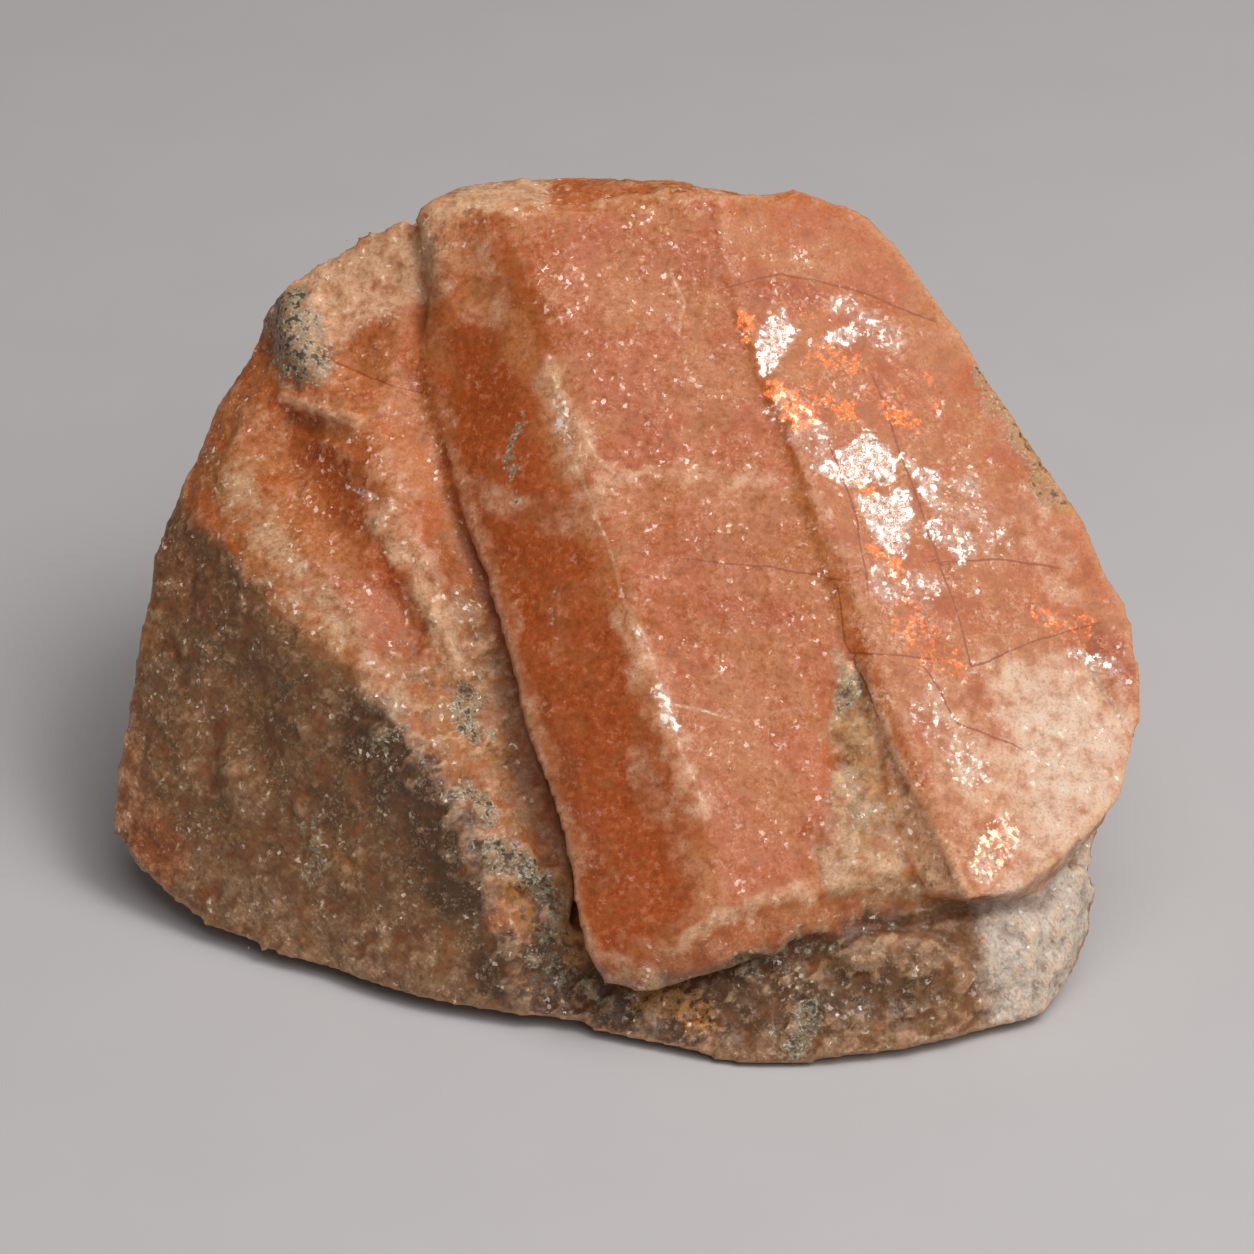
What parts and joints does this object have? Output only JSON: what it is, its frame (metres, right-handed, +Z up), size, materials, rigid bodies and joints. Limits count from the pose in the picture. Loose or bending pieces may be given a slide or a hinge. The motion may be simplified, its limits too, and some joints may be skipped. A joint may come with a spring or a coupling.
{
  "type": "rough sunstone",
  "caption": "Rough lump of orange sunstone with a proud feldspar bar, a glittering cleavage face and a foot of pale quartz and dark mica.",
  "frame": {"origin": "centre of the bounding box's bottom, on the surface that the stone rests on", "axes": "+Z up, +X along the stone's width, -Y towards the side of the broad broken face"},
  "size_m": [0.0768, 0.056, 0.0492],
  "materials": {
    "rough_sunstone": "broken feldspar, slightly translucent, with metallic glints on its cleavage faces"
  },
  "bodies": {
    "root": {"sunstone": "rough_sunstone"}
  },
  "joints": []
}
